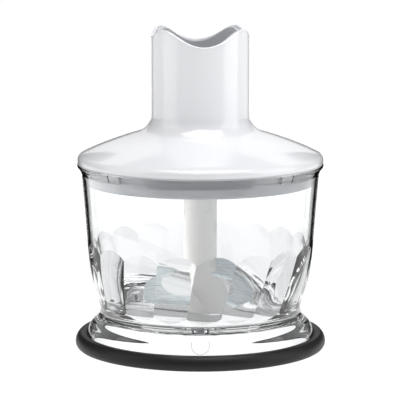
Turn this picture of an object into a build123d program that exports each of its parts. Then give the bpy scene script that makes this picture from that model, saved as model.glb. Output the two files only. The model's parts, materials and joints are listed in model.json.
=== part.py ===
"""Gear-driven chopper for a hand blender: clear faceted bowl on a rubber ring, white geared
lid with a chimney for the motor, and a two-bladed knife that turns on a pin in the bowl.

Millimetres, +Z up. The origin is on the axis of the bowl, at the underside of the rubber ring.
The front is -Y. Every node is written to parts/NODE.step.
"""
import os
from math import acos, cos, degrees, pi, radians, sin, tan

from build123d import *

# ---------------------------------------------------------------- driving dimensions
# anti-slip ring
RING_R = 65.0             # widest radius
RING_FOOT_R = 63.8        # outer edge of the flat underside
RING_TOP_R = 62.7
RING_H = 7.3
RING_BORE_R = 59.4
RING_WIDEST_Z = 2.6
LEDGE_R = 57.8            # inner ledge that the bowl stands on
LEDGE_H = 1.2

# bowl
SKIRT_R = 59.1
SKIRT_TOP_Z = 5.0         # end of the straight part of the foot skirt
SKIRT_WALL = 2.2
WAIST_R = 52.05
WAIST_Z = 20.4
MOUTH_R = 61.35           # outside of the wall, just under the rim
MOUTH_Z = 90.6
RIM_R = 63.5
RIM_Z = 95.6
WALL = 2.0
FLOOR_Z = 19.0
FLOOR_UNDER_Z = 15.8
FLOOR_FLAT_R = 45.2
FLOOR_CORNER_R = 1.5
FACETS = 18
FACET_BOTTOM = 46.4       # distance of each facet from the axis at the floor
FACET_SLOPE = 0.277       # growth of that distance per millimetre of height
FACET_TWIST = 8.1         # degrees that the facets turn between the floor and their tops
FACET_PHASE = -0.9        # one facet edge at the tops, degrees to the right of the front
FACET_TOP_Z = 57.0
MARK_R = 4.7              # moulded ring on the front of the skirt
MARK_Z = 12.0
MARK_LINE = 0.35
BOSS_R = 9.0              # boss under the floor that holds the pin
BOSS_Z = 10.5

# lid
LID_R = 63.4
LID_BOTTOM_Z = 96.4
LID_WALL = 1.8
RIM_ROUND = 3.3           # rounding of the lid's outer edge
RIM_ROUND_Z = 97.67
OUTER_SLOPE = 26.6        # degrees below horizontal, at the outer edge
INNER_SLOPE = 17.3        # the same, at the foot of the chimney
CHIMNEY_R = 25.4
CHIMNEY_FILLET = 10.0
CHIMNEY_FILLET_Z = 121.25
CHIMNEY_BLANK_Z = 170.0   # top of the chimney before its edge is cut to a wave
WAVE_TURN = 5.0           # deep dips of the top edge, degrees to the right of front and back
WAVE_MEAN = 162.04        # height of the top edge: mean and even harmonics
WAVE_HARMONICS = {2: -2.34, 4: -2.79, 6: 0.59}
EDGE_ROUND = 0.5
SEAT_Z = 124.5            # ring ledge in the chimney that carries the motor socket
SEAT_H = 2.5
SEAT_BORE_R = 21.0

# motor socket
SOCKET_R = 23.5
SOCKET_BORE_R = 21.3
SOCKET_FLOOR_H = 2.0
SOCKET_HOLE_R = 7.5
SOCKET_DROP = 1.2         # how far its edge lies below the chimney's edge
LATCH_W = 10.0
LATCH_H = 4.0
LATCH_Z = 147.0
GUIDE_RIBS = 3
GUIDE_TOP_Z = 150.0

# lid base plate
PLATE_R = 61.3
PLATE_FLANGE_R = 63.1
PLATE_TOP_Z = 98.2
COVER_R = 58.5            # skirt that hangs inside the bowl
COVER_BORE_R = 56.8
COVER_BOTTOM_Z = 85.7
PAD_R = 31.0              # thick middle that carries the gears
PAD_Z = 92.5
GLAND_R = 11.0
GLAND_Z = 90.0
RIBS = 12
RIB_W = 1.6
RIB_Z = 93.4
KEY_W = 7.0               # keys that stop the lid from turning in the bowl
KEY_R = 60.4
KEY_Z = 92.0
KEY_GAP = 0.4
KEYS = 4

# gears
MODULE = 0.75
SUN_TEETH = 12
PLANET_TEETH = 18
RING_TEETH = 48
PLANETS = 3
PRESSURE_ANGLE = 20.0
ADDENDUM = 0.85           # in modules
DEDENDUM = 1.10
BACKLASH = 0.12           # taken off each tooth at the pitch circle
GEAR_Z = (102.6, 112.2)
RING_GEAR_R = 20.5
CENTRES = MODULE * (SUN_TEETH + PLANET_TEETH) / 2

# gear housing, shafts and carrier
HOUSING_R = 22.8
HOUSING_BORE_R = 20.6
HOUSING_FLANGE_R = 30.0
HOUSING_FLANGE_H = 3.0
HOUSING_ROOF_Z = 116.2
HOUSING_TOP_Z = 118.6
NECK_R = 6.5
NECK_TOP_Z = 123.4
SHAFT_R = 2.0
SHAFT_TOP_Z = 136.0
UPPER_BUSH_R = 4.0
CLIP_R = 3.8
CLIP_H = 0.7
RUN = 0.05                # radial clearance of every running fit
JOURNAL_R = 6.0
OUTPUT_BUSH_R = 8.0
SEAL_R = 8.7
SEAL_TOP_Z = 92.2
SEAL_INSET = 0.2          # gap between the seal and the face of the gland
DRIVE_FLATS = 9.0         # hexagon of the output drive, across flats
HEX_GAP = 0.25            # clearance at each flat in the knife's socket
DRIVE_BOTTOM_Z = 76.0
CARRIER_R = 19.0
CARRIER_Z = (98.9, 102.2)
PIN_INSET = 0.4           # plastic left under each planet pin
SPIGOT_R = 5.0
TOP_PLATE_R = 17.0
TOP_PLATE_Z = (112.6, 115.0)
WASHER_H = 0.6
SCREW_CIRCLE_R = 26.4
SCREWS = 4
SCREW_R = 1.4
SCREW_HEAD_R = 2.7
SCREW_HOLE_START = 1.5    # plastic left under each blind screw hole
COUPLING_R = 6.5
COUPLING_Z = (124.6, 141.0)

# knife
HUB_R = 8.6
HUB_TOP_Z = 89.6
HUB_BOTTOM_Z = 19.4
FOOT_R = 9.7              # wider foot that holds the blades
FOOT_TOP_Z = 33.5
FOOT_CONE_H = 4.0
BAR_PROUD = 0.9           # slanting bar on each side of the foot, and the panel under it
PANEL_DEPTH = 0.8
SOCKET_BOTTOM_Z = 74.5
PIN_R = 3.0
PIN_BOTTOM_Z = 12.0
PIN_TOP_Z = 68.0
PIN_HEAD_R = 4.6
HUB_BUSH_R = 5.2
HUB_BUSH_Z = (19.8, 70.0)
BLADE_T = 1.3
BLADE_RISE = 0.4          # slope of both blade planes, rising towards the back
LOWER_BLADE_Z = 24.0      # height of each blade plane on the axis
UPPER_BLADE_Z = 36.0


# ---------------------------------------------------------------- helpers
def disc(radius, z0, z1):
    """Solid cylinder on the axis."""
    return Pos(0, 0, z0) * Cylinder(radius, z1 - z0, align=(Align.CENTER, Align.CENTER, Align.MIN))


def tube(outer, inner, z0, z1):
    """Hollow cylinder on the axis."""
    return disc(outer, z0, z1) - disc(inner, z0 - 1, z1 + 1)


def hexagon(flats, z0, z1):
    """Hexagonal bar on the axis."""
    return Pos(0, 0, z0) * extrude(RegularPolygon(flats / 2, 6, major_radius=False), z1 - z0)


def path(*points):
    """Straight edges through (r, z) points."""
    return [Line(a, b) for a, b in zip(points, points[1:])]


def turned(*edges):
    """Solid of revolution of a closed outline of (r, z) edges."""
    return revolve(Plane.XZ * Face(Wire(edges)), Axis.Z)


def turned_points(*points):
    """Solid of revolution of a closed polygon of (r, z) points."""
    return turned(*path(*points, points[0]))


def polar(radius, angle):
    """Point at an angle in degrees."""
    return (radius * cos(radians(angle)), radius * sin(radians(angle)))


def around(count, shape, first=0.0):
    """Copies of a shape, evenly spaced about the axis."""
    return [Rot(0, 0, first + 360 * i / count) * shape for i in range(count)]


def bar(length, width, z0, z1, start=0.0):
    """Rectangular bar that runs outwards from the axis along +X."""
    return Pos(start, 0, z0) * Box(length, width, z1 - z0, align=(Align.MIN, Align.CENTER, Align.MIN))


def in_front(points, depth):
    """Solid from the axis forwards, with a polygon of (x, z) points as its front view."""
    return extrude(Plane.XZ * Polygon(*points, align=None), depth)


def save(**nodes):
    """Write each node, a shape or a list of separate solids, to parts/NODE.step."""
    os.makedirs("parts", exist_ok=True)
    for name, shape in nodes.items():
        solids = [solid for item in shape for solid in item.solids()] if isinstance(shape, list) \
            else shape.solids()
        body = solids[0] if len(solids) == 1 else Compound(children=solids)
        body.label = name
        export_step(body, f"parts/{name}.step")


# ---------------------------------------------------------------- foot ring and bowl
def anti_slip_ring():
    """Rubber ring with a rounded outside and a ledge under the bowl's skirt."""
    chamfer = 0.6
    foot = (RING_FOOT_R, 0)
    widest = (RING_R, RING_WIDEST_Z)
    top = (RING_TOP_R, RING_H)
    return turned(
        *path((RING_BORE_R, LEDGE_H), (LEDGE_R, LEDGE_H), (LEDGE_R, 0), foot),
        TangentArc(widest, foot, tangent=(0, -1)),
        TangentArc(widest, top, tangent=(0, 1)),
        *path(top, (RING_BORE_R + chamfer, RING_H), (RING_BORE_R, RING_H - chamfer),
              (RING_BORE_R, LEDGE_H)),
    )


def wall_spline(inset, first=0):
    """Outside of the bowl wall from the waist to the rim, moved inwards by inset."""
    heights = (WAIST_Z, 26.0, 33.0, 42.0, 55.0, 72.0, MOUTH_Z)
    radii = (WAIST_R, 53.35, 55.5, 57.35, 58.62, 59.85, MOUTH_R)
    return Spline(*[(r - inset, z) for r, z in zip(radii, heights)][first:])


def skirt_spline(growth=0.0):
    """Flare of the foot skirt, from its straight foot up to the waist."""
    points = ((SKIRT_R, SKIRT_TOP_Z), (58.0, 10.0), (55.4, 14.3), (53.2, 16.3), (WAIST_R, WAIST_Z))
    return Spline(*[(r + growth, z) for r, z in points], tangents=[(0, 1), (0, 1)])


def facet_prism():
    """Flat sides that widen and turn on the way up."""
    def section(z):
        rise = z - FLOOR_Z
        corner_r = (FACET_BOTTOM + FACET_SLOPE * rise) / cos(pi / FACETS)
        turn = FACET_PHASE - 90 + FACET_TWIST * (rise / (FACET_TOP_Z - FLOOR_Z) - 1)
        corners = [polar(corner_r, turn + 360 * i / FACETS) for i in range(FACETS)]
        return Pos(0, 0, z) * Face(Wire(Polyline(*corners, close=True).edges()))

    return loft([section(FLOOR_Z - 1), section(RIM_Z + 1)], ruled=True)


def bowl_void():
    """Space inside the bowl: round above, faceted below, with a rounded floor corner."""
    mouth_bore = MOUTH_R - WALL
    wall = wall_spline(WALL, first=2)
    corner = (FLOOR_FLAT_R + FLOOR_CORNER_R, FLOOR_Z + FLOOR_CORNER_R)
    across, down = polar(FLOOR_CORNER_R, -45)
    round_void = turned(
        *path((0, FLOOR_Z), (FLOOR_FLAT_R, FLOOR_Z)),
        ThreePointArc((FLOOR_FLAT_R, FLOOR_Z), (FLOOR_FLAT_R + across, corner[1] + down), corner),
        Line(corner, wall @ 0),
        wall,
        *path((mouth_bore, MOUTH_Z), (mouth_bore, RIM_Z + 1), (0, RIM_Z + 1), (0, FLOOR_Z)),
    )
    return round_void & facet_prism()


def skirt_mark():
    """Thin raised ring on the front of the skirt."""
    proud = 0.3
    skin = turned(
        skirt_spline(proud),
        *path((WAIST_R + proud, WAIST_Z), (WAIST_R - 1, WAIST_Z)),
        skirt_spline(-1.0),
        *path((SKIRT_R - 1, SKIRT_TOP_Z), (SKIRT_R + proud, SKIRT_TOP_Z)),
    )
    line = Circle(MARK_R) - Circle(MARK_R - MARK_LINE)
    return skin & extrude(Plane.XZ * Pos(0, MARK_Z) * line, RING_R)


def bowl(pin, holder):
    """Clear bowl with a foot skirt, a rim with key notches and a boss for the pin."""
    skirt_bore = SKIRT_R - SKIRT_WALL
    bore_edge = (skirt_bore, SKIRT_TOP_Z)
    underside = (WAIST_R - 2.6, FLOOR_UNDER_Z)
    body = turned(
        *path((skirt_bore, LEDGE_H), (SKIRT_R, LEDGE_H), (SKIRT_R, SKIRT_TOP_Z)),
        skirt_spline(),
        wall_spline(0),
        *path((MOUTH_R, MOUTH_Z), (RIM_R - 1.1, MOUTH_Z + 2.2), (RIM_R, RIM_Z - 1.2), (RIM_R, RIM_Z),
              (0, RIM_Z), (0, BOSS_Z), (BOSS_R, BOSS_Z), (BOSS_R, FLOOR_UNDER_Z), underside),
        Spline(underside, (53.0, 13.1), (55.9, 9.2), bore_edge, tangents=[(1, 0), (0, -1)]),
        Line(bore_edge, (skirt_bore, LEDGE_H)),
    )
    notch = bar(KEY_R + KEY_GAP - FLOOR_FLAT_R, KEY_W + 2 * KEY_GAP, KEY_Z - KEY_GAP, RIM_Z + 1,
                start=FLOOR_FLAT_R)
    notch = notch & disc(KEY_R + KEY_GAP, MOUTH_Z, RIM_Z + 1)
    body = body - bowl_void() - around(KEYS, notch, 180 / KEYS)
    return body + skirt_mark() - pin - holder


def centre_pin():
    """Steel pin with a headed foot and a bevelled top."""
    bevel = 1.0
    neck = FLOOR_UNDER_Z - 1.5
    return turned_points(
        (0, PIN_BOTTOM_Z), (PIN_HEAD_R, PIN_BOTTOM_Z), (PIN_HEAD_R, neck), (PIN_R, neck),
        (PIN_R, PIN_TOP_Z - bevel), (PIN_R - bevel, PIN_TOP_Z), (0, PIN_TOP_Z),
    )


def pin_holder(pin):
    """Grey plug in the boss that holds the foot of the pin."""
    top = FLOOR_UNDER_Z + 1.2
    plug = turned_points((0, BOSS_Z), (7.3, BOSS_Z), (7.6, BOSS_Z + 1.6), (6.4, top - 0.6),
                         (5.6, top), (0, top))
    return plug - pin


# ---------------------------------------------------------------- lid
def lid_solid(inset):
    """Filled lid and chimney blank whose outside is moved inwards by inset."""
    centre_r = CHIMNEY_R + CHIMNEY_FILLET
    foot_fillet = CHIMNEY_FILLET + inset
    edge_round = RIM_ROUND - inset
    edge_centre_r = LID_R - RIM_ROUND
    chimney_foot = (CHIMNEY_R - inset, CHIMNEY_FILLET_Z)

    def on_fillet(slope):
        x, z = polar(foot_fillet, 180 + 90 - slope)
        return (centre_r + x, CHIMNEY_FILLET_Z + z)

    def on_edge(angle):
        x, z = polar(edge_round, angle)
        return (edge_centre_r + x, RIM_ROUND_Z + z)

    slopes = [(cos(radians(a)), -sin(radians(a))) for a in (INNER_SLOPE, OUTER_SLOPE)]
    cone_top = on_fillet(INNER_SLOPE)
    cone_foot = on_edge(90 - OUTER_SLOPE)
    widest = on_edge(0)
    return turned(
        *path((0, LID_BOTTOM_Z), (0, CHIMNEY_BLANK_Z), (CHIMNEY_R - inset, CHIMNEY_BLANK_Z),
              chimney_foot),
        ThreePointArc(chimney_foot, on_fillet((90 + INNER_SLOPE) / 2), cone_top),
        Spline(cone_top, cone_foot, tangents=slopes),
        ThreePointArc(cone_foot, on_edge((90 - OUTER_SLOPE) / 2), widest),
        *path(widest, (widest[0], LID_BOTTOM_Z), (0, LID_BOTTOM_Z)),
    )


def wave(drop=0.0):
    """Wavy ruled surface that cuts the chimney's top edge."""
    def edge_at(radius):
        points = []
        for angle in range(0, 360, 10):
            height = WAVE_MEAN - drop
            height += sum(size * cos(radians(n * angle)) for n, size in WAVE_HARMONICS.items())
            points.append((*polar(radius, angle + WAVE_TURN - 90), height))
        return Spline(*points, periodic=True)

    return Face.make_surface_from_curves(edge_at(CHIMNEY_R + 5), edge_at(SOCKET_BORE_R - 5))


def wave_edges(shape, radius):
    """Edges of the wavy top that lie on one cylinder."""
    def on_cylinder(edge):
        points = [edge @ (i / 8) for i in range(8)]
        return all(abs((p.X ** 2 + p.Y ** 2) ** 0.5 - radius) < 0.05 and p.Z > 150 for p in points)

    return [edge for edge in shape.edges() if on_cylinder(edge)]


def lid_shell():
    """White lid and chimney in one moulding, open below, with a seat for the socket."""
    bore_r = CHIMNEY_R - LID_WALL
    shell = lid_solid(0) - lid_solid(LID_WALL) - disc(LID_R - LID_WALL, LID_BOTTOM_Z - 1, LID_BOTTOM_Z)
    shell = split(shell, bisect_by=wave(), keep=Keep.BOTTOM)
    shell = fillet(wave_edges(shell, CHIMNEY_R) + wave_edges(shell, bore_r), EDGE_ROUND)
    return shell + tube(bore_r + 0.2, SEAT_BORE_R, SEAT_Z, SEAT_Z + SEAT_H)


def coupling_socket():
    """Sleeve in the chimney that takes the motor: floor, guide ribs and two latch windows."""
    z0 = SEAT_Z + SEAT_H
    sleeve = tube(SOCKET_R, SOCKET_BORE_R, z0, CHIMNEY_BLANK_Z)
    sleeve = split(sleeve, bisect_by=wave(SOCKET_DROP), keep=Keep.BOTTOM)
    sleeve += tube(SOCKET_R, SOCKET_HOLE_R, z0, z0 + SOCKET_FLOOR_H)
    rib = bar(1.4, 2.4, z0 + SOCKET_FLOOR_H, GUIDE_TOP_Z, start=SOCKET_BORE_R - 1)
    window = bar(SOCKET_R, LATCH_W, LATCH_Z, LATCH_Z + LATCH_H, start=SOCKET_BORE_R - 2)
    return sleeve + around(GUIDE_RIBS, rib, 90) - around(2, window, WAVE_TURN)


def lid_base_plate():
    """Grey underside of the lid with a skirt, stiffening ribs, keys and the gear pad."""
    plate = disc(PLATE_R, RIM_Z, PLATE_TOP_Z) + disc(PLATE_FLANGE_R, RIM_Z, LID_BOTTOM_Z)
    plate += disc(PAD_R, PAD_Z, PLATE_TOP_Z) + disc(GLAND_R, GLAND_Z, PAD_Z)
    lip = 1.0
    plate += turned_points(
        (COVER_R, RIM_Z), (COVER_R, COVER_BOTTOM_Z + lip), (COVER_R - lip / 2, COVER_BOTTOM_Z),
        (COVER_BORE_R, COVER_BOTTOM_Z), (COVER_BORE_R, RIM_Z),
    )
    rib = bar(COVER_BORE_R - PAD_R + 2, RIB_W, RIB_Z, RIM_Z, start=PAD_R - 1)
    key = bar(KEY_R - COVER_R + 1, KEY_W, KEY_Z, RIM_Z, start=COVER_R - 1) & disc(KEY_R, KEY_Z, RIM_Z)
    plate += around(RIBS, rib) + around(KEYS, key, 180 / KEYS)
    screw_hole = Pos(SCREW_CIRCLE_R, 0) * disc(SCREW_R, PAD_Z + SCREW_HOLE_START, PLATE_TOP_Z + 1)
    plate -= disc(OUTPUT_BUSH_R, GLAND_Z - 1, PLATE_TOP_Z + 1)
    plate -= disc(SEAL_R, GLAND_Z - 1, SEAL_TOP_Z)
    return plate - around(SCREWS, screw_hole, 180 / SCREWS)


# ---------------------------------------------------------------- gear train
def gear_face(teeth, root_r, tip_r, tooth_width, phase):
    """Outline of involute teeth; tooth_width is measured on the pitch circle."""
    pitch_r = MODULE * teeth / 2
    base_r = pitch_r * cos(radians(PRESSURE_ANGLE))

    def lean(radius):
        angle = acos(min(1.0, base_r / radius))
        return degrees(tan(angle) - angle)

    half = degrees(tooth_width / 2 / pitch_r) + lean(pitch_r)
    start_r = max(root_r, base_r)
    radii = [start_r + (tip_r - start_r) * i / 3 for i in range(4)]
    edges = []
    for n in range(teeth):
        mid = phase + 360 * n / teeth
        rising = [polar(r, mid - half + lean(r)) for r in radii]
        falling = [polar(r, mid + half - lean(r)) for r in reversed(radii)]
        gap_mid = polar(root_r, mid + 180 / teeth)
        foot, next_foot = rising[0], polar(start_r, mid + 360 / teeth - half + lean(start_r))
        last = falling[-1]
        if root_r < base_r:
            foot = polar(root_r, mid - half)
            last = polar(root_r, mid + half)
            next_foot = polar(root_r, mid + 360 / teeth - half)
            edges.append(Line(foot, rising[0]))
        edges.append(Spline(*rising))
        edges.append(ThreePointArc(rising[-1], polar(tip_r, mid), falling[0]))
        edges.append(Spline(*falling))
        if root_r < base_r:
            edges.append(Line(falling[-1], last))
        edges.append(ThreePointArc(last, gap_mid, next_foot))
    return Face(Wire(edges))


def spur_gear(teeth, bore_r, phase=0.0):
    """External gear on the axis, at the height of the gear stage."""
    pitch_r = MODULE * teeth / 2
    width = pi * MODULE / 2 - BACKLASH
    face = gear_face(teeth, pitch_r - DEDENDUM * MODULE, pitch_r + ADDENDUM * MODULE, width, phase)
    z0, z1 = GEAR_Z
    return extrude(Pos(0, 0, z0) * face, z1 - z0) - disc(bore_r, z0 - 1, z1 + 1)


def ring_gear():
    """Internal gear fixed in the housing; it has a tooth in line with every planet."""
    pitch_r = MODULE * RING_TEETH / 2
    width = pi * MODULE / 2 + BACKLASH
    spaces = gear_face(RING_TEETH, pitch_r - ADDENDUM * MODULE, pitch_r + DEDENDUM * MODULE, width,
                       180 / RING_TEETH)
    z0, z1 = GEAR_Z
    return disc(RING_GEAR_R, z0, z1) - extrude(Pos(0, 0, z0) * spaces, z1 - z0)


def planet_gears():
    """Planets with a tooth space towards the sun and towards the ring."""
    planet = spur_gear(PLANET_TEETH, SHAFT_R + RUN, 180 / PLANET_TEETH)
    return around(PLANETS, Pos(CENTRES, 0) * planet)


def pin_set(radius, z0, z1, circle_r, count, first=0.0):
    """Separate round pins on a circle."""
    return around(count, Pos(circle_r, 0) * disc(radius, z0, z1), first)


def planet_pins():
    return pin_set(SHAFT_R, CARRIER_Z[0] + PIN_INSET, TOP_PLATE_Z[1], CENTRES, PLANETS)


def planet_carrier():
    """Lower plate of the carrier with three spacer posts between the planets."""
    z0, z1 = CARRIER_Z
    post = Pos(CENTRES + 0.6, 0) * disc(2.6, z1, TOP_PLATE_Z[0])
    plate = disc(CARRIER_R, z0, z1) + around(PLANETS, post, 180 / PLANETS)
    return plate - disc(SPIGOT_R, z0 - 1, z1 - 1) - planet_pins()


def carrier_top_plate():
    """Three-armed plate that ties the outer ends of the planet pins together."""
    z0, z1 = TOP_PLATE_Z
    plate = disc(TOP_PLATE_R, z0, z1) - disc(SUN_TEETH * MODULE / 2 + 1.1, z0 - 1, z1 + 1)
    return plate - planet_pins()


def gear_housing():
    """Cup over the gears with a screw flange and a neck for the upper bush."""
    cup = turned_points(
        (HOUSING_BORE_R, PLATE_TOP_Z), (HOUSING_FLANGE_R, PLATE_TOP_Z),
        (HOUSING_FLANGE_R, PLATE_TOP_Z + HOUSING_FLANGE_H),
        (HOUSING_R, PLATE_TOP_Z + HOUSING_FLANGE_H), (HOUSING_R, HOUSING_TOP_Z - 1),
        (HOUSING_R - 1, HOUSING_TOP_Z), (NECK_R, HOUSING_TOP_Z), (NECK_R, NECK_TOP_Z),
        (UPPER_BUSH_R, NECK_TOP_Z), (UPPER_BUSH_R, HOUSING_ROOF_Z),
        (HOUSING_BORE_R, HOUSING_ROOF_Z),
    )
    brace = bar(HOUSING_R - NECK_R, 1.6, HOUSING_TOP_Z, NECK_TOP_Z - 1.5, start=NECK_R - 0.5)
    brace = brace & disc(HOUSING_R - 4, HOUSING_TOP_Z, NECK_TOP_Z)
    holes = pin_set(SCREW_R + 0.2, PLATE_TOP_Z - 1, NECK_TOP_Z, SCREW_CIRCLE_R, SCREWS, 180 / SCREWS)
    return cup + around(6, brace) - holes


def housing_screws():
    """Self-tapping screws with a cross recess, through the housing flange into the plate."""
    seat = PLATE_TOP_Z + HOUSING_FLANGE_H
    head_top = seat + 2.0
    cross = Pos(0, 0, seat + 1) * (Box(2.6, 0.7, 4) + Box(0.7, 2.6, 4))
    cross = cross & disc(SCREW_HEAD_R, seat + 1, head_top + 1)
    screw = disc(SCREW_R, PAD_Z + 1.8, seat) + disc(SCREW_HEAD_R, seat, head_top) - cross
    return around(SCREWS, Pos(SCREW_CIRCLE_R, 0) * screw, 180 / SCREWS)


def input_coupling():
    """Cup with six inner lugs that the motor's dog drops into."""
    z0, z1 = COUPLING_Z
    flare = z0 + 5.4
    cup = turned_points((0, z0), (UPPER_BUSH_R, z0), (UPPER_BUSH_R, flare), (COUPLING_R, flare + 1),
                        (COUPLING_R, z1 - 0.8), (COUPLING_R - 0.8, z1), (0, z1))
    recess = disc(COUPLING_R - 1.4, SHAFT_TOP_Z, z1 + 1)
    lug = bar(1.6, 1.5, SHAFT_TOP_Z, z1 - 0.8, start=COUPLING_R - 2.8)
    return cup - recess + around(6, lug) - disc(SHAFT_R, z0 - 1, SHAFT_TOP_Z)


def output_drive():
    """Spigot in the carrier, journal in the bush and hexagon for the knife."""
    drive = disc(SPIGOT_R, CARRIER_Z[0], CARRIER_Z[1] - 1) + disc(JOURNAL_R, GLAND_Z, CARRIER_Z[0])
    tip = 1.0
    point = turned_points((0, DRIVE_BOTTOM_Z), (DRIVE_FLATS / 2 - tip / 2, DRIVE_BOTTOM_Z),
                          (DRIVE_FLATS, DRIVE_BOTTOM_Z + 3 * tip), (DRIVE_FLATS, GLAND_Z),
                          (0, GLAND_Z))
    return drive + (hexagon(DRIVE_FLATS, DRIVE_BOTTOM_Z, GLAND_Z) & point)


# ---------------------------------------------------------------- knife
def blade(height, outer, tip, inner):
    """Sickle blade in a plane that rises towards the back, ground along its outer edge."""
    lie = Plane(origin=(0, 0, height), x_dir=(1, 0, 0), z_dir=(0, -BLADE_RISE, 1))
    stretch = (1 + BLADE_RISE ** 2) ** 0.5

    def in_plane(points):
        return [(x, y * stretch) for x, y in points]

    outer, tip, inner = in_plane(outer), in_plane(tip), in_plane(inner)
    edges = [Spline(*outer), Spline(outer[-1], *tip), Line(([outer[-1]] + tip)[-1], inner[0]),
             Spline(*inner), Line(inner[-1], outer[0])]
    return extrude(lie * Face(Wire(edges)), BLADE_T / 2, both=True)


def blade_lower():
    """Broad hook from the left of the hub round to the back, rising."""
    return blade(
        LOWER_BLADE_Z,
        outer=[(-3.0, -2.4), (-14.0, -2.2), (-22.0, -2.7), (-28.0, -2.6), (-30.8, -0.7),
               (-32.0, 3.0), (-32.4, 7.0)],
        tip=[(-31.2, 11.0), (-27.5, 13.6), (-20.0, 14.2), (-13.6, 13.5)],
        inner=[(-13.7, 12.6), (-14.8, 10.4), (-16.4, 8.4), (-17.1, 5.3), (-16.7, 2.8), (-15.0, 0.9),
               (-11.5, 0.4), (-3.0, 1.2)],
    )


def blade_upper():
    """Sickle from the right of the hub round to the front, falling."""
    return blade(
        UPPER_BLADE_Z,
        outer=[(3.0, 6.6), (10.0, 6.0), (17.0, 2.0), (21.8, -3.2), (24.3, -8.5), (25.4, -14.0)],
        tip=[(24.6, -17.5), (22.3, -21.0), (19.2, -23.5), (16.0, -24.4)],
        inner=[(15.3, -22.8), (18.0, -20.2), (20.2, -16.6), (20.6, -13.2), (18.6, -10.2),
               (14.5, -8.4), (9.0, -7.2), (3.0, -6.6)],
    )


def blade_hub(blades):
    """White column on a wider foot, with two slanting bars and a hexagon socket on top."""
    hub = turned_points(
        (0, HUB_BOTTOM_Z), (FOOT_R, HUB_BOTTOM_Z), (FOOT_R, FOOT_TOP_Z),
        (HUB_R, FOOT_TOP_Z + FOOT_CONE_H), (HUB_R, HUB_TOP_Z), (0, HUB_TOP_Z),
    )
    bar_view = [(-6.6, HUB_BOTTOM_Z), (-1.0, 25.5), (4.3, 31.2), (8.6, 31.8), (8.8, 30.6), (5.5, 27.5),
                (-0.5, 21.0), (-2.0, HUB_BOTTOM_Z)]
    panel_view = [(-1.0, HUB_BOTTOM_Z), (0.5, 21.0), (6.2, 27.0), (9.0, 29.4), (9.2, HUB_BOTTOM_Z)]
    reach = FOOT_R + BAR_PROUD
    slanting_bar = in_front(bar_view, reach) & tube(reach, HUB_BUSH_R, HUB_BOTTOM_Z, FOOT_TOP_Z)
    panel = in_front(panel_view, reach) - disc(FOOT_R - PANEL_DEPTH, HUB_BOTTOM_Z - 1, FOOT_TOP_Z)
    hub = hub - around(2, panel) + around(2, slanting_bar)
    socket = hexagon(DRIVE_FLATS + 2 * HEX_GAP, SOCKET_BOTTOM_Z, HUB_TOP_Z + 1)
    lead_in = turned_points((0, HUB_TOP_Z - 3), (DRIVE_FLATS / 2, HUB_TOP_Z - 3),
                            (HUB_R - 1.8, HUB_TOP_Z), (HUB_R - 1.8, HUB_TOP_Z + 1), (0, HUB_TOP_Z + 1))
    bush_room = disc(HUB_BUSH_R, HUB_BOTTOM_Z - 1, HUB_BUSH_Z[1])
    return hub - socket - lead_in - bush_room - blades


def hub_bush():
    """Blind bush that turns on the pin and carries the knife on the pin's top."""
    z0, z1 = HUB_BUSH_Z
    return disc(HUB_BUSH_R, z0, z1) - disc(PIN_R + RUN, z0 - 1, PIN_TOP_Z + 0.3)


# ---------------------------------------------------------------- assembly
pin = centre_pin()
holder = pin_holder(pin)
bush_room = disc(HUB_BUSH_R, *HUB_BUSH_Z)
lower = blade_lower() - bush_room
upper = blade_upper() - bush_room
plate_top_washer = tube(12.0, JOURNAL_R + RUN, PLATE_TOP_Z, PLATE_TOP_Z + WASHER_H)
roof_washer = tube(10.0, UPPER_BUSH_R + 1, HOUSING_ROOF_Z - WASHER_H, HOUSING_ROOF_Z)

save(
    anti_slip_ring=anti_slip_ring(),
    bowl=bowl(pin, holder),
    centre_pin=pin,
    pin_holder=holder,
    blade_hub=blade_hub([lower, upper]),
    hub_bush=hub_bush(),
    blade_lower=lower,
    blade_upper=upper,
    lid_shell=lid_shell(),
    coupling_socket=coupling_socket(),
    lid_base_plate=lid_base_plate(),
    gear_housing=gear_housing(),
    housing_screws=housing_screws(),
    ring_gear=ring_gear(),
    upper_bush=tube(UPPER_BUSH_R, SHAFT_R + RUN, HOUSING_ROOF_Z, NECK_TOP_Z),
    input_coupling=input_coupling(),
    input_shaft=disc(SHAFT_R, GEAR_Z[0], SHAFT_TOP_Z),
    sun_gear=spur_gear(SUN_TEETH, SHAFT_R),
    retaining_clip=tube(CLIP_R, SHAFT_R, NECK_TOP_Z + 0.1, NECK_TOP_Z + 0.1 + CLIP_H),
    planet_carrier=planet_carrier(),
    carrier_top_plate=carrier_top_plate(),
    planet_pins=planet_pins(),
    output_drive=output_drive(),
    output_bush=tube(OUTPUT_BUSH_R, JOURNAL_R + RUN, PAD_Z - 0.2, PLATE_TOP_Z),
    output_seal=tube(SEAL_R, JOURNAL_R + RUN, GLAND_Z + SEAL_INSET, SEAL_TOP_Z),
    thrust_washers=[plate_top_washer, roof_washer],
    **{f"planet_gear_{i + 1}": gear for i, gear in enumerate(planet_gears())},
)
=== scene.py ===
"""Looks of the geared chopper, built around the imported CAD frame.

Sizes are millimetres in the row frame and become metres as each mesh is made: the origin is on
the bowl's axis under the rubber ring, +Z is up and -Y is the front.
"""
import json
from math import acos, atan2, cos, degrees, pi, radians, sin, sqrt, tan

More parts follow.
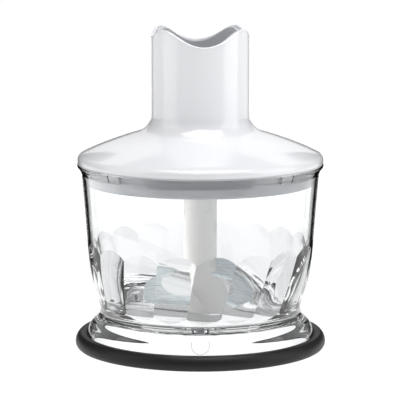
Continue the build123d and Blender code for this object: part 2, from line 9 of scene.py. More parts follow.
import bmesh
import bpy
import numpy as np
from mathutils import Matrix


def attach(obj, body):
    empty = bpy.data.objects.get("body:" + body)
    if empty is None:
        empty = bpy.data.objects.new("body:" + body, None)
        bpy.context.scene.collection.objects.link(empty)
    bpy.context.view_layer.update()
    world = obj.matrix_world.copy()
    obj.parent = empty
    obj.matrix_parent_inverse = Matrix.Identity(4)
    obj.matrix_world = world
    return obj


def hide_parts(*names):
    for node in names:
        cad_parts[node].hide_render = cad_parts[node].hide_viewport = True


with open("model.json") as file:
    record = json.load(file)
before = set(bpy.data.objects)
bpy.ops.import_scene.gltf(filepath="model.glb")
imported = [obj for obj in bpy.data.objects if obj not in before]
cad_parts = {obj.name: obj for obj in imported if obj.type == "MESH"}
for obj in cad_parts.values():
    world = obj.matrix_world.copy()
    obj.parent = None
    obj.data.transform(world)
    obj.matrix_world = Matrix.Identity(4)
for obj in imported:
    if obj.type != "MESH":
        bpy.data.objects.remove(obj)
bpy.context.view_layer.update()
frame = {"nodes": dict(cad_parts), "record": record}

MM = 0.001

# ---------------------------------------------------------------- driving dimensions (mm)
COLUMNS = 288             # columns of every turned mesh, a multiple of the facets

RING_R, RING_FOOT_R, RING_TOP_R = 65.0, 63.8, 62.7
RING_BORE_R, RING_H, RING_WIDEST_Z = 59.4, 7.3, 2.6
LEDGE_R, LEDGE_H = 57.8, 1.2

SKIRT_R, SKIRT_TOP_Z, SKIRT_WALL = 59.1, 5.0, 2.2
WAIST = (52.05, 20.4)     # narrowest place of the bowl's outside, as (r, z)
SKIRT_POINTS = [(SKIRT_R, SKIRT_TOP_Z), (58.0, 10.0), (55.4, 14.3), (53.2, 16.3), WAIST]
SKIRT_HOLLOW_POINTS = [(55.9, 9.2), (53.0, 13.1)]
WALL_POINTS = [WAIST, (53.35, 26.0), (55.5, 33.0), (57.35, 42.0), (58.62, 55.0),
               (59.85, 72.0), (61.35, 90.6)]
MOUTH_Z = WALL_POINTS[-1][1]
WALL, RIM_R, RIM_Z = 2.0, 63.5, 95.6
FLOOR_Z, FLOOR_UNDER_Z, FLOOR_FLAT_R, FLOOR_CORNER_R = 19.0, 15.8, 45.2, 1.5
FACETS, FACET_BOTTOM, FACET_SLOPE = 18, 46.4, 0.277
FACET_TWIST, FACET_PHASE, FACET_TOP_Z = 8.1, -0.9, 57.0
FACET_MIDDLE_Z, FACETS_END_Z = 38.0, 62.0    # between a facet's two ends, and above all of them
UNDERSIDE_R = 49.45       # where the flat underside of the floor meets the hollow foot
BOSS_R, BOSS_Z, PIN_R = 9.0, 10.5, 3.0
HOLDER_POINTS = [(7.3, 10.5), (7.6, 12.1), (6.4, 16.4), (5.6, 17.0), (PIN_R, 17.0)]
HOLDER_GAP = 0.08
KEY_R, KEY_W, KEY_Z, KEY_GAP, KEYS = 60.4, 7.0, 92.0, 0.4, 4
KEY_TURN = 45             # first key, degrees to the right of the front
MARK_R, MARK_Z, MARK_LINE = 4.7, 12.0, 0.35

LID_R, LID_BOTTOM_Z, LID_WALL = 63.4, 96.4, 1.8
RIM_ROUND, RIM_ROUND_Z = 3.3, 97.67
OUTER_SLOPE, INNER_SLOPE = 26.6, 17.3
CHIMNEY_R, CHIMNEY_FILLET, CHIMNEY_FILLET_Z = 25.4, 10.0, 121.25
CHIMNEY_ROWS_Z = (124.0, 126.0, 128.0, 136.0, 144.0, 152.0, 158.0)
EDGE_START_Z = 159.0      # below this the chimney's wall is straight
WAVE_TURN, WAVE_MEAN, WAVE_HARMONICS = 5.0, 162.04, {2: -2.34, 4: -2.79, 6: 0.59}
WAVE_FOOT_Z = 128.0       # the wave fades out down to this height

BLADE_T, BLADE_RISE, LOWER_BLADE_Z, UPPER_BLADE_Z = 1.3, 0.4, 24.0, 36.0


# ---------------------------------------------------------------- curves
def smooth_curve(points, count, start=None, end=None):
    """Cubic spline through points; start and end are optional directions."""
    p = np.array(points, float)
    chord = np.linalg.norm(np.diff(p, axis=0), axis=1)
    n = len(p)
    matrix, right = np.zeros((n, n)), np.zeros((n, 2))
    for i in range(1, n - 1):
        before, after = chord[i - 1], chord[i]
        matrix[i, i - 1:i + 2] = after, 2 * (before + after), before
        right[i] = 3 * (after * (p[i] - p[i - 1]) / before + before * (p[i + 1] - p[i]) / after)
    for row, other, direction, step in ((0, 1, start, chord[0]), (n - 1, n - 2, end, chord[-1])):
        matrix[row, row] = 1 if direction else 2
        matrix[row, other] = 0 if direction else 1
        jump = (p[max(row, other)] - p[min(row, other)]) / step
        right[row] = np.array(direction) / np.linalg.norm(direction) if direction else 3 * jump
    slope = np.linalg.solve(matrix, right)
    curve = []
    at = np.concatenate([[0], np.cumsum(chord)])
    for s in np.linspace(0, at[-1], count):
        i = min(int(np.searchsorted(at, s, side="right")) - 1, n - 2)
        h = chord[i]
        t = (s - at[i]) / h
        curve.append((2 * t**3 - 3 * t**2 + 1) * p[i] + (t**3 - 2 * t**2 + t) * h * slope[i]
                     + (3 * t**2 - 2 * t**3) * p[i + 1] + (t**3 - t**2) * h * slope[i + 1])
    return [tuple(c) for c in curve]


def arc(centre, radius, first, last, count=9):
    """Points on an arc; angles in degrees."""
    angles = [radians(first + (last - first) * i / (count - 1)) for i in range(count)]
    return [(centre[0] + radius * cos(a), centre[1] + radius * sin(a)) for a in angles]


def rounded(corners, count=5):
    """Polygon line whose (x, y, radius) corners are replaced by arcs."""
    line = []
    for i, corner in enumerate(corners):
        x, y, radius = corner
        if radius == 0 or i in (0, len(corners) - 1):
            line.append((x, y))
            continue
        here = np.array([x, y])
        back = np.array(corners[i - 1][:2]) - here
        on = np.array(corners[i + 1][:2]) - here
        back, on = back / np.linalg.norm(back), on / np.linalg.norm(on)
        half = acos(max(-1.0, min(1.0, float(back @ on)))) / 2
        cut = radius / tan(half)
        middle = (back + on) / np.linalg.norm(back + on) * radius / sin(half)
        a, b = back * cut - middle, on * cut - middle
        for j in range(count):
            t = j / (count - 1)
            spoke = a * (1 - t) + b * t
            line.append(tuple(here + middle + spoke / np.linalg.norm(spoke) * radius))
    return line


# ---------------------------------------------------------------- meshes
def make_object(name, vertices, faces, sharp):
    """Mesh object in metres from millimetre points, smooth but for edges over sharp degrees."""
    mesh = bpy.data.meshes.new(name)
    mesh.from_pydata([(x * MM, y * MM, z * MM) for x, y, z in vertices], [], faces)
    mesh.validate()
    tidy = bmesh.new()
    tidy.from_mesh(mesh)
    bmesh.ops.remove_doubles(tidy, verts=tidy.verts, dist=1e-7)
    bmesh.ops.recalc_face_normals(tidy, faces=tidy.faces)
    tidy.to_mesh(mesh)
    tidy.free()
    obj = bpy.data.objects.new(name, mesh)
    bpy.context.scene.collection.objects.link(obj)
    mesh.shade_smooth()
    mesh.set_sharp_from_angle(angle=radians(sharp))
    return obj


def grid_faces(rows, columns):
    """Quads of a grid that closes both ways."""
    faces = []
    for i in range(rows):
        a, b = i * columns, ((i + 1) % rows) * columns
        for j in range(columns):
            k = (j + 1) % columns
            faces.append((a + j, a + k, b + k, b + j))
    return faces


def turned(name, profile, height=None):
    """Turns a closed (r, z) profile about the axis; height(angle, z) may move points up or down."""
    vertices = []
    for r, z in profile:
        for j in range(COLUMNS):
            angle = 2 * pi * j / COLUMNS
            vertices.append((r * cos(angle), r * sin(angle), height(angle, z) if height else z))
    return make_object(name, vertices, grid_faces(len(profile), COLUMNS), 30)


def show(obj, body, slot, material, *nodes):
    """Rides, replaces CAD nodes, and gets its material; slot is not used."""
    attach(obj, body)
    if nodes:
        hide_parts(*nodes)
    obj.data.materials.clear()
    obj.data.materials.append(material)
    return obj


# ---------------------------------------------------------------- materials
# numbers of the mix node's sockets, which share their names
MIX_FACTOR, MIX_VALUE_A, MIX_VALUE_B, MIX_COLOR_A, MIX_COLOR_B = 0, 2, 3, 6, 7
MIX_VALUE_RESULT, MIX_COLOR_RESULT = 0, 2


def principled(name, color, roughness, **sockets):
    """Principled material; sockets are given as words with underscores."""
    material = bpy.data.materials.new(name)
    material.use_nodes = True
    shader = material.node_tree.nodes["Principled BSDF"]
    shader.inputs["Base Color"].default_value = (*color, 1)
    shader.inputs["Roughness"].default_value = roughness
    for key, value in sockets.items():
        shader.inputs[key.replace("_", " ")].default_value = value
    return material


def node(material, kind, **settings):
    """New shader node; settings are socket values or properties of the node."""
    made = material.node_tree.nodes.new(kind)
    for key, value in settings.items():
        if key in made.inputs:
            made.inputs[key].default_value = value
        else:
            setattr(made, key, value)
    return made


def wire(material, source, target):
    """Link from an output socket to an input socket."""
    material.node_tree.links.new(source, target)


def noise(material, scale, detail=4.0, stretch=(1, 1, 1)):
    """Noise in object coordinates; scale is in features per metre."""
    place = node(material, "ShaderNodeTexCoord")
    mapping = node(material, "ShaderNodeMapping")
    mapping.inputs["Scale"].default_value = stretch
    texture = node(material, "ShaderNodeTexNoise", Scale=scale, Detail=detail)
    wire(material, place.outputs["Object"], mapping.inputs["Vector"])
    wire(material, mapping.outputs["Vector"], texture.inputs["Vector"])
    return texture.outputs["Fac"]


def spread(material, value, low, high):
    """Maps the middle of a noise to a range."""
    ranged = node(material, "ShaderNodeMapRange")
    ranged.inputs["From Min"].default_value = 0.3
    ranged.inputs["From Max"].default_value = 0.7
    ranged.inputs["To Min"].default_value = low
    ranged.inputs["To Max"].default_value = high
    wire(material, value, ranged.inputs["Value"])
    return ranged.outputs["Result"]


def vary_color(material, value, dark, light):
    """Base colour between two colours."""
    mix = node(material, "ShaderNodeMix", data_type="RGBA")
    mix.inputs[MIX_COLOR_A].default_value = (*dark, 1)
    mix.inputs[MIX_COLOR_B].default_value = (*light, 1)
    wire(material, value, mix.inputs[MIX_FACTOR])
    shader = material.node_tree.nodes["Principled BSDF"]
    wire(material, mix.outputs[MIX_COLOR_RESULT], shader.inputs["Base Color"])


def vary_roughness(material, value, low, high):
    """Roughness that follows a noise between two values."""
    shader = material.node_tree.nodes["Principled BSDF"]
    wire(material, spread(material, value, low, high), shader.inputs["Roughness"])


def bump(material, value, strength, depth_mm):
    """Fine relief that follows a noise."""
    relief = node(material, "ShaderNodeBump", Strength=strength, Distance=depth_mm * MM)
    shader = material.node_tree.nodes["Principled BSDF"]
    wire(material, value, relief.inputs["Height"])
    wire(material, relief.outputs["Normal"], shader.inputs["Normal"])


def clear_plastic():
    """Clear moulded plastic with the faint haze of washing."""
    made = principled("clear_plastic", (0.985, 0.995, 1.0), 0.0, IOR=1.5, Transmission_Weight=1.0)
    vary_roughness(made, noise(made, 45, 6), 0.0, 0.018)
    return made


def gloss_white():
    """Glossy cool white of the lid, with a clear top coat of polish."""
    made = principled("gloss_white", (0.86, 0.865, 0.89), 0.16, IOR=1.5, Coat_Weight=0.6,
                      Coat_Roughness=0.05)
    vary_roughness(made, noise(made, 60, 5), 0.13, 0.2)
    bump(made, noise(made, 900, 2), 0.03, 0.02)
    return made


def warm_white():
    """Satin warm white of the hub and the lid's inner parts."""
    made = principled("warm_white", (0.86, 0.85, 0.83), 0.3, IOR=1.49)
    vary_roughness(made, noise(made, 120, 5), 0.24, 0.36)
    bump(made, noise(made, 2500, 2), 0.05, 0.02)
    return made


def grained_grey():
    """Light grey plastic with a soft sheen."""
    made = principled("grained_grey", (0.6, 0.61, 0.64), 0.22, IOR=1.49, Specular_IOR_Level=0.9)
    vary_roughness(made, noise(made, 200, 5), 0.16, 0.28)
    bump(made, noise(made, 1200, 3), 0.04, 0.02)
    return made


def natural_acetal():
    """Unpainted gear and bearing plastic."""
    made = principled("natural_acetal", (0.84, 0.82, 0.75), 0.4, IOR=1.48)
    vary_roughness(made, noise(made, 150, 5), 0.32, 0.48)
    return made


def black_rubber():
    """Matt black rubber with a fine grain."""
    made = principled("black_rubber", (0.006, 0.006, 0.006), 0.42, IOR=1.5, Specular_IOR_Level=0.3)
    vary_color(made, noise(made, 90, 6), (0.01, 0.01, 0.01), (0.018, 0.018, 0.018))
    vary_roughness(made, noise(made, 700, 4), 0.36, 0.52)
    bump(made, noise(made, 6000, 3), 0.15, 0.03)
    return made


def ground_steel():
    """Blade steel with fine grinding lines."""
    made = principled("ground_steel", (0.8, 0.87, 0.9), 0.28, Metallic=0.25)
    lines = noise(made, 260, 3, (1, 14, 1))
    vary_color(made, spread(made, lines, 0, 1), (0.78, 0.86, 0.89), (0.86, 0.93, 0.95))
    vary_roughness(made, lines, 0.22, 0.36)
    bump(made, lines, 0.1, 0.02)
    return made


def turned_steel():
    """Turned steel with fine rings."""
    made = principled("turned_steel", (0.6, 0.6, 0.6), 0.25, Metallic=1.0)
    vary_roughness(made, noise(made, 300, 3, (1, 1, 12)), 0.18, 0.34)
    return made


def seal_rubber():
    """Red-brown rubber of the seal."""
    made = principled("seal_rubber", (0.2, 0.06, 0.04), 0.5, IOR=1.5)
    vary_roughness(made, noise(made, 500, 3), 0.42, 0.58)
    return made


MATERIALS = {
    "clear_plastic": clear_plastic(),
    "lid_gloss": gloss_white(),
    "white_plastic": warm_white(),
    "grey_plastic": grained_grey(),
    "bearing_plastic": natural_acetal(),
    "gear_plastic": natural_acetal(),
    "black_rubber": black_rubber(),
    "blade_steel": ground_steel(),
    "steel": turned_steel(),
    "seal_rubber": seal_rubber(),
}


# ---------------------------------------------------------------- foot ring
def anti_slip_ring():
    """Rubber ring with a rounded outside and a ledge under the bowl's skirt."""
    lower_r = ((RING_R - RING_FOOT_R) ** 2 + RING_WIDEST_Z ** 2) / 2 / (RING_R - RING_FOOT_R)
    lower_to = -degrees(atan2(RING_WIDEST_Z, lower_r - RING_R + RING_FOOT_R))
    rise, back = RING_H - RING_WIDEST_Z, RING_R - RING_TOP_R
    upper_r = (back ** 2 + rise ** 2) / 2 / back
    upper_to = degrees(atan2(rise, upper_r - back))
    profile = [(LEDGE_R, LEDGE_H), (LEDGE_R, 0.2), (LEDGE_R + 0.2, 0), (RING_FOOT_R - 0.5, 0)]
    profile += arc((RING_R - lower_r, RING_WIDEST_Z), lower_r, lower_to, 0)
    profile += arc((RING_R - upper_r, RING_WIDEST_Z), upper_r, 0, upper_to * 0.95)[1:]
    profile += [(RING_TOP_R - 0.4, RING_H), (RING_BORE_R + 0.6, RING_H), (RING_BORE_R + 0.2, RING_H - 0.2),
                (RING_BORE_R, RING_H - 0.6), (RING_BORE_R, LEDGE_H)]
    return turned("rubber_ring", profile)


# ---------------------------------------------------------------- bowl
WALL_LINE = np.array(smooth_curve(WALL_POINTS, 200))


def outer_r(z):
    """Radius of the bowl's outside at a height."""
    return float(np.interp(z, WALL_LINE[:, 1], WALL_LINE[:, 0]))


def round_r(z):
    """Radius of the bowl's round inside at a height."""
    corner_top = FLOOR_Z + FLOOR_CORNER_R
    join = WALL_POINTS[2]
    if z <= corner_top:
        return FLOOR_FLAT_R + sqrt(max(0.0, FLOOR_CORNER_R ** 2 - (corner_top - z) ** 2))
    if z < join[1]:
        share = (z - corner_top) / (join[1] - corner_top)
        corner_r = FLOOR_FLAT_R + FLOOR_CORNER_R
        return corner_r + (join[0] - WALL - corner_r) * share
    return outer_r(min(z, WALL_POINTS[-1][1])) - WALL


def facet_r(z, off_middle):
    """Distance of a flat facet from the axis, seen off its middle by an angle in degrees."""
    return (FACET_BOTTOM + FACET_SLOPE * (z - FLOOR_Z)) / cos(radians(off_middle))


def crossing(off_middle, low, high):
    """Height at which the round inside meets the facet, by halving."""
    sign = round_r(low) > facet_r(low, off_middle)
    for _ in range(30):
        middle = (low + high) / 2
        if (round_r(middle) > facet_r(middle, off_middle)) == sign:
            low = middle
        else:
            high = middle
    return (low + high) / 2


def facet_turn(z):
    """Turn of the facets at a height, in degrees, against their tops."""
    share = (min(z, FACET_TOP_Z) - FLOOR_Z) / (FACET_TOP_Z - FLOOR_Z)
    return FACET_TWIST * (share - 1)


def bowl_inside(off_middle):
    """Profile of the inside at one column, from the floor up to under the rim."""
    corner_rows, facet_rows, wall_rows = 12, 16, 26
    foot = crossing(off_middle, FLOOR_Z + 1, FACET_MIDDLE_Z)
    head = crossing(off_middle, FACET_MIDDLE_Z, FACETS_END_Z)
    line = [(r, FLOOR_Z) for r in (8.0, 16.0, 26.0, 36.0)]
    for i in range(corner_rows):
        z = FLOOR_Z + (foot - FLOOR_Z) * (i / corner_rows) ** 2
        line.append((round_r(z), z))
    for i in range(facet_rows):
        z = foot + (head - foot) * i / facet_rows
        line.append((facet_r(z, off_middle), z))
    for i in range(wall_rows):
        z = head + (WALL_POINTS[-1][1] - head) * i / wall_rows
        line.append((round_r(z), z))
    return line


def notched(column, r, z):
    """Radius and turn in columns of a point of the mouth, with a notch round each key of the lid."""
    half = round((KEY_W / 2 + KEY_GAP) / KEY_R / (2 * pi) * COLUMNS)
    per_key = COLUMNS // KEYS
    off = (column + per_key // 2) % per_key - per_key // 2
    if z < KEY_Z - KEY_GAP or r > KEY_R + KEY_GAP or abs(off) > half + 1:
        return r, 0.0
    if abs(off) == half + 1:
        return r, -0.95 * off / abs(off)
    return KEY_R + KEY_GAP, 0.0


def bowl():
    """Clear bowl: smooth outside, faceted inside, with notches for the lid's keys."""
    mouth_bore = WALL_POINTS[-1][0] - WALL
    skirt_bore = SKIRT_R - SKIRT_WALL
    underside = (UNDERSIDE_R, FLOOR_UNDER_Z)
    sill = KEY_Z - KEY_GAP
    rim = rounded([(mouth_bore, MOUTH_Z, 0), (mouth_bore, RIM_Z, 0.4), (RIM_R, RIM_Z, 0.5),
                   (RIM_R, RIM_Z - 1.2, 0.5), (RIM_R - 1.1, MOUTH_Z + 2.2, 0.8), (*WALL_POINTS[-1], 0)])
    outside = list(reversed(smooth_curve(WALL_POINTS, 48)))
    flare = list(reversed(smooth_curve(SKIRT_POINTS, 24, (0, 1), (0, 1))))
    foot = rounded([(SKIRT_R, SKIRT_TOP_Z, 0), (SKIRT_R, LEDGE_H, 0.5), (skirt_bore, LEDGE_H, 0.5),
                    (skirt_bore, SKIRT_TOP_Z, 0)])
    hollow = smooth_curve([(skirt_bore, SKIRT_TOP_Z), *SKIRT_HOLLOW_POINTS, underside], 20,
                          (0, 1), (-1, 0))
    edge, belly, shoulder, roof, neck = HOLDER_POINTS
    boss = rounded([(*underside, 0), (BOSS_R, FLOOR_UNDER_Z, 0.6), (BOSS_R, BOSS_Z, 0.5),
                    (edge[0] + HOLDER_GAP, edge[1], 0), (belly[0] + HOLDER_GAP, belly[1], 0.2),
                    (shoulder[0] + HOLDER_GAP, shoulder[1], 0.2), (roof[0], roof[1] + HOLDER_GAP, 0.2),
                    (neck[0] + HOLDER_GAP, neck[1] + HOLDER_GAP, 0), (neck[0] + HOLDER_GAP, FLOOR_Z, 0)])
    rim[1:1] = [(mouth_bore, sill - 0.05), (mouth_bore, sill)]
    shared = rim[1:] + outside[1:] + flare[1:] + foot[1:] + hollow[1:] + boss[1:]
    per_facet = COLUMNS // FACETS
    vertices = []
    columns = []
    for j in range(COLUMNS):
        off_middle = 360 / FACETS * ((j % per_facet) / per_facet - 0.5)
        columns.append(bowl_inside(off_middle) + [rim[0]] + shared)
    inside_rows = len(columns[0]) - len(shared)
    key_column = KEY_TURN * COLUMNS // 360
    for i in range(len(columns[0])):
        for j, column in enumerate(columns):
            r, z = column[i]
            if i < inside_rows:
                turn = FACET_PHASE + facet_turn(z)
            else:
                r, shifted = notched(j - key_column, r, z)
                turn = shifted * 360 / COLUMNS
            angle = radians(360 * j / COLUMNS - 90 + turn)
            vertices.append((r * cos(angle), r * sin(angle), z))
    return make_object("clear_bowl", vertices, grid_faces(len(columns[0]), COLUMNS), 7)


def mark_ring():
    """Thin raised ring on the front of the skirt."""
    steps, sides, half = 72, 8, MARK_LINE / 2
    skirt = np.array(smooth_curve(SKIRT_POINTS, 60, (0, 1), (0, 1)))
    vertices = []
    for i in range(steps):
        turn = 2 * pi * i / steps
        for j in range(sides):
            spin = 2 * pi * j / sides
            reach = MARK_R - half + half * cos(spin)
            x, z = reach * cos(turn), MARK_Z + reach * sin(turn)
            face = sqrt(float(np.interp(z, skirt[:, 1], skirt[:, 0])) ** 2 - x ** 2)
            vertices.append((x, -face - half * sin(spin), z))
    return make_object("mark_ring", vertices, grid_faces(steps, sides), 60)


# ---------------------------------------------------------------- lid
def wave(angle):
    """Height of the chimney's top edge at an angle in radians."""
    turn = angle + pi / 2 - radians(WAVE_TURN)
    return WAVE_MEAN + sum(size * cos(n * turn) for n, size in WAVE_HARMONICS.items())


def on_wave(angle, z):
    """Height that brings the top of the chimney onto the wave, fading out further down."""
    share = max(0.0, (z - WAVE_FOOT_Z) / (WAVE_MEAN - WAVE_FOOT_Z))
    return z + (wave(angle) - WAVE_MEAN) * share


def lid_line(inset):
    """Outside of lid and chimney, moved inwards by inset, from the edge up to the wave."""
    centre = (CHIMNEY_R + CHIMNEY_FILLET, CHIMNEY_FILLET_Z)
    edge_centre = (LID_R - RIM_ROUND, RIM_ROUND_Z)
    edge = arc(edge_centre, RIM_ROUND - inset, 0, 90 - OUTER_SLOPE, 10)
    fillet = arc(centre, CHIMNEY_FILLET + inset, 270 - INNER_SLOPE, 180, 16)
    slopes = [(-cos(radians(a)), sin(radians(a))) for a in (OUTER_SLOPE, INNER_SLOPE)]
    cone = smooth_curve([edge[-1], fillet[0]], 20, *slopes)
    pipe = [(CHIMNEY_R - inset, z) for z in CHIMNEY_ROWS_Z]
    return edge + cone[1:-1] + fillet + pipe


def lid():
    """White lid and chimney, one shell with a rounded wavy edge."""
    outside, inside = lid_line(0), lid_line(LID_WALL)
    bore = CHIMNEY_R - LID_WALL
    edge = rounded([(CHIMNEY_R, EDGE_START_Z, 0), (CHIMNEY_R, WAVE_MEAN, 0.55),
                    (bore, WAVE_MEAN, 0.45), (bore, EDGE_START_Z, 0)])
    hem = rounded([(LID_R - LID_WALL, RIM_ROUND_Z, 0), (LID_R - LID_WALL, LID_BOTTOM_Z, 0.2),
                   (LID_R, LID_BOTTOM_Z, 0.3), (LID_R, RIM_ROUND_Z, 0)], 4)
    profile = outside + edge + list(reversed(inside)) + hem[1:-1]
    return turned("lid", profile, on_wave)


# ---------------------------------------------------------------- blades
def blade(name, height, outer, inner):
    """Sickle between two edges, ground thin along the outer one."""
    across = ((0.0, 0.12), (0.1, 0.42), (0.3, 0.98), (0.36, 1.0), (0.98, 1.0), (1.0, 0.9))
    count = 56
    outer_line = smooth_curve(outer, count)
    inner_line = smooth_curve(inner, count)
    vertices = []
    rows = len(across)
    lift = np.array([0, -BLADE_RISE, 1]) / sqrt(1 + BLADE_RISE ** 2)
    for a, b in zip(outer_line, inner_line):
        for side in (1, -1):
            shares = across if side > 0 else tuple(reversed(across))
            for share, thick in shares:
                x, y = (np.array(a) * (1 - share) + np.array(b) * share)
                at = np.array([x, y, height + BLADE_RISE * y])
                vertices.append(tuple(at + lift * side * thick * BLADE_T / 2))
    loop = 2 * rows
    faces = []
    for i in range(count - 1):
        for j in range(loop):
            k = (j + 1) % loop
            faces.append((i * loop + j, i * loop + k, (i + 1) * loop + k, (i + 1) * loop + j))
    for base in (0, (count - 1) * loop):
        for j in range(rows - 1):
            faces.append((base + j, base + j + 1, base + loop - 2 - j, base + loop - 1 - j))
    return make_object(name, vertices, faces, 25)


def lower_blade():
    """Broad hook from the left of the hub round to the back."""
    return blade(
        "lower_blade", LOWER_BLADE_Z,
        outer=[(-5.3, -2.3), (-14.0, -2.2), (-22.0, -2.7), (-28.0, -2.6), (-30.8, -0.7), (-32.0, 3.0),
               (-32.4, 7.0), (-31.2, 11.0), (-27.5, 13.4)],
        inner=[(-5.3, 0.9), (-11.5, 0.4), (-15.0, 0.9), (-16.7, 2.8), (-17.1, 5.3), (-16.4, 8.4),
               (-14.8, 10.4), (-13.7, 12.6), (-13.6, 13.5)],
    )


def upper_blade():
    """Sickle from the right of the hub round to the front."""
    return blade(
        "upper_blade", UPPER_BLADE_Z,
        outer=[(5.3, 6.5), (10.0, 6.0), (17.0, 2.0), (21.8, -3.2), (24.3, -8.5), (25.4, -14.0),
               (24.6, -17.5), (22.3, -21.0), (19.2, -23.5)],
        inner=[(5.3, -6.7), (9.0, -7.2), (14.5, -8.4), (18.6, -10.2), (20.6, -13.2), (20.2, -16.6),
               (18.0, -20.2), (15.3, -22.8), (15.4, -23.4)],
    )


# ---------------------------------------------------------------- studio
def flat_panel(name, centre, size, turn=(0, 0, 0)):
    """Rectangle in metres, facing +Z before it is turned."""
    w, h = size[0] / 2, size[1] / 2
    mesh = bpy.data.meshes.new(name)
    mesh.from_pydata([(-w, -h, 0), (w, -h, 0), (w, h, 0), (-w, h, 0)], [], [(0, 1, 2, 3)])
    panel = bpy.data.objects.new(name, mesh)
    panel.location = centre
    panel.rotation_euler = [radians(a) for a in turn]
    bpy.context.scene.collection.objects.link(panel)
    return panel


def studio_floor():
    """Pale floor, open from below; for rays that come through clear plastic its glow is dimmed close to
    the piece, a painted shade.
    """
    floor = flat_panel("floor", (0, 0, -0.0002), (12, 12))
    white = principled("floor_white", (0.12, 0.12, 0.12), 0.7, Specular_IOR_Level=0.0)
    shader = white.node_tree.nodes["Principled BSDF"]
    shader.inputs["Emission Color"].default_value = (1, 1, 1, 1)
    place = node(white, "ShaderNodeNewGeometry")
    axes = node(white, "ShaderNodeSeparateXYZ")
    # painted shade: seen through clear plastic the floor's glow falls from 1.06 to 0.72 around y = 0.1 m,
    # just behind the piece
    under, behind = node(white, "ShaderNodeMapRange"), node(white, "ShaderNodeMapRange")
    for ramp, ends in ((under, (0.05, 0.1, 1.06, 0.72)), (behind, (0.1, 0.45, 0.72, 1.06))):
        for name, value in zip(("From Min", "From Max", "To Min", "To Max"), ends):
            ramp.inputs[name].default_value = value
    painted_shade_glow = node(white, "ShaderNodeMath", operation="MAXIMUM")
    light = node(white, "ShaderNodeLightPath")
    through = node(white, "ShaderNodeMix", data_type="FLOAT")
    through.inputs[MIX_VALUE_A].default_value = 1.0
    wire(white, place.outputs["Position"], axes.inputs["Vector"])
    wire(white, axes.outputs["Y"], under.inputs["Value"])
    wire(white, axes.outputs["Y"], behind.inputs["Value"])
    wire(white, under.outputs["Result"], painted_shade_glow.inputs[0])
    wire(white, behind.outputs["Result"], painted_shade_glow.inputs[1])
    wire(white, light.outputs["Is Transmission Ray"], through.inputs[MIX_FACTOR])
    wire(white, painted_shade_glow.outputs["Value"], through.inputs[MIX_VALUE_B])
    wire(white, through.outputs[MIX_VALUE_RESULT], shader.inputs["Emission Strength"])
    from_above = node(white, "ShaderNodeMath", operation="SUBTRACT")
    from_above.inputs[0].default_value = 1.0
    wire(white, place.outputs["Backfacing"], from_above.inputs[1])
    wire(white, from_above.outputs["Value"], shader.inputs["Alpha"])
    floor.data.materials.append(white)


def card_material(name, limits=None, glow=0.0):
    """Black for light that comes through clear plastic, painted darkness in what the bowl shows; limits
    are the slants where it starts to be clear and to be black, 0 for light that meets it square and 1 for
    light along it.

    Light that the pieces in the bowl scatter passes the card, or finds it glowing, as painted light that
    reaches only the pieces inside the bowl.
    """
    made = principled(name, (0.01, 0.01, 0.01), 1.0, Specular_IOR_Level=0.0)
    shader = made.node_tree.nodes["Principled BSDF"]
    light = node(made, "ShaderNodeLightPath")
    bounced = node(made, "ShaderNodeMath", operation="GREATER_THAN")
    bounced.inputs[1].default_value = 0.5
    wire(made, light.outputs["Diffuse Depth"], bounced.inputs[0])
    alpha = node(made, "ShaderNodeMath", operation="MAXIMUM" if glow else "SUBTRACT", use_clamp=True)
    alpha.inputs[0].default_value = 1.0
    if limits:
        view = node(made, "ShaderNodeLayerWeight")
        ramp = node(made, "ShaderNodeMapRange")
        ramp.inputs["From Min"].default_value, ramp.inputs["From Max"].default_value = limits
        wire(made, view.outputs["Facing"], ramp.inputs["Value"])
        wire(made, ramp.outputs["Result"], alpha.inputs[0])
    wire(made, bounced.outputs["Value"], alpha.inputs[1])
    wire(made, alpha.outputs["Value"], shader.inputs["Alpha"])
    if glow:
        strength = node(made, "ShaderNodeMath", operation="MULTIPLY")
        strength.inputs[1].default_value = glow
        shader.inputs["Emission Color"].default_value = (1, 0.98, 0.95, 1)
        wire(made, bounced.outputs["Value"], strength.inputs[0])
        wire(made, strength.outputs["Value"], shader.inputs["Emission Strength"])
    return made


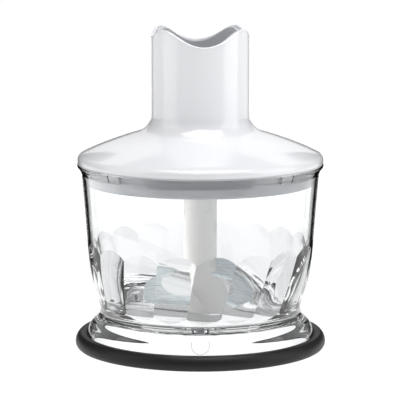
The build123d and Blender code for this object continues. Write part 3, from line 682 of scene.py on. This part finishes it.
def dark_cards():
    """Painted darkness: cards and floor mats round the set that only light through clear plastic meets,
    seen as dark refractions in the bowl.
    """
    plain = card_material("card_plain")
    slanting = card_material("card_slanting", (0.32, 0.5))
    square = card_material("card_square", (0.25, 0.15))
    painted_light = card_material("card_painted_light", (0.32, 0.5), 6.5)
    half, front, split, back, top, window = 0.25, -0.6, -0.06, 0.45, 0.4, 0.17
    foot, mat_size = 0.067, (0.07, 0.1)
    depth, middle, mat_x = back - front, (front + back) / 2, foot + mat_size[0] / 2
    rear_x, rear_size = (half + window) / 2, (half - window, top)
    side, flat, rear = (0, 90, 0), (0, 0, 0), (90, 0, 0)
    cards = [
        ("card_left_front", slanting, (-half, (front + split) / 2, top / 2), (top, split - front), side),
        # painted light: the left back card glows only for light scattered by the pieces inside the bowl,
        # lighting the hub from the left
        ("card_left_back", painted_light, (-half, (split + back) / 2, top / 2), (top, back - split), side),
        ("card_right", slanting, (half, middle, top / 2), (top, depth), side),
        ("card_top", plain, (0, middle, top), (2 * half, depth), flat),
        ("card_rear_left", plain, (-rear_x, back, top / 2), rear_size, rear),
        ("card_rear_right", plain, (rear_x, back, top / 2), rear_size, rear),
        # painted shade: dark mats beside the ring, seen only through the bowl's floor
        ("mat_left", plain, (-mat_x, 0, 0), mat_size, flat),
        ("mat_right", plain, (mat_x, 0, 0), mat_size, flat),
    ]
    # painted dark reflections: the edge cards are also seen by glossy rays, darkening the bowl's outline
    edge_x, edge_y, edge_size = 0.26, 0.12, (0.35, 0.2)
    cards += [
        ("edge_left", square, (-edge_x, edge_y, edge_size[1] / 2), edge_size, rear),
        ("edge_right", square, (edge_x, edge_y, edge_size[1] / 2), edge_size, rear),
    ]
    for name, material, place, size, turn in cards:
        card = flat_panel(name, place, size, turn)
        card.data.materials.append(material)
        card.visible_glossy = material == square
        for ray in ("camera", "diffuse", "shadow"):
            setattr(card, f"visible_{ray}", False)


def soft_light(name, place, target, size, power):
    lamp = bpy.data.lights.new(name, "AREA")
    lamp.shape = "RECTANGLE"
    lamp.size, lamp.size_y = size
    lamp.energy = power
    obj = bpy.data.objects.new(name, lamp)
    obj.location = place
    away = obj.location - type(obj.location)(target)
    obj.rotation_euler = away.to_track_quat("Z", "Y").to_euler()
    bpy.context.scene.collection.objects.link(obj)


def studio_world():
    world = bpy.data.worlds.new("studio")
    world.use_nodes = True
    world.node_tree.nodes["Background"].inputs["Color"].default_value = (0.97, 0.98, 1.0, 1)
    world.node_tree.nodes["Background"].inputs["Strength"].default_value = 0.05
    bpy.context.scene.world = world


def camera():
    lens, distance, height, pitch = 218.7, 1.241, 0.275, 9.105
    data = bpy.data.cameras.new("camera")
    data.lens = lens
    data.sensor_width = 36.0
    data.clip_start, data.clip_end = 0.1, 50
    obj = bpy.data.objects.new("camera", data)
    obj.location = (-0.0002, -distance, height)
    obj.rotation_euler = (radians(90 - pitch), 0, 0)
    bpy.context.scene.collection.objects.link(obj)
    bpy.context.scene.camera = obj


# ---------------------------------------------------------------- assembly
camera()
studio_world()
studio_floor()
dark_cards()
soft_light("right_box", (0.87, -0.23, 0.35), (0, 0, 0.1), (0.7, 0.9), 3.4)
soft_light("left_box", (-0.87, -0.23, 0.35), (0, 0, 0.1), (0.7, 0.9), 2.3)
soft_light("top_box", (0.1, -0.2, 1.2), (0, 0, 0.1), (0.9, 0.9), 13)
soft_light("back_box", (0, 1.0, 0.6), (0, 0, 0.1), (1.2, 0.8), 2.2)

for item in frame["record"]["subparts"]:
    cad = frame["nodes"][item["node"]]
    cad.data.materials.clear()
    cad.data.materials.append(MATERIALS[item["material_slot"]])

show(anti_slip_ring(), "ring", "black_rubber", MATERIALS["black_rubber"], "anti_slip_ring")
show(bowl(), "bowl", "clear_plastic", MATERIALS["clear_plastic"], "bowl")
show(mark_ring(), "bowl", "clear_plastic", MATERIALS["clear_plastic"])
show(lid(), "lid", "lid_gloss", MATERIALS["lid_gloss"], "lid_shell")
show(lower_blade(), "knife", "blade_steel", MATERIALS["blade_steel"], "blade_lower")
show(upper_blade(), "knife", "blade_steel", MATERIALS["blade_steel"], "blade_upper")

render = bpy.context.scene
render.view_settings.view_transform = "Standard"
render.cycles.max_bounces = 24
render.cycles.transmission_bounces = 24
render.cycles.glossy_bounces = 12
render.cycles.diffuse_bounces = 6
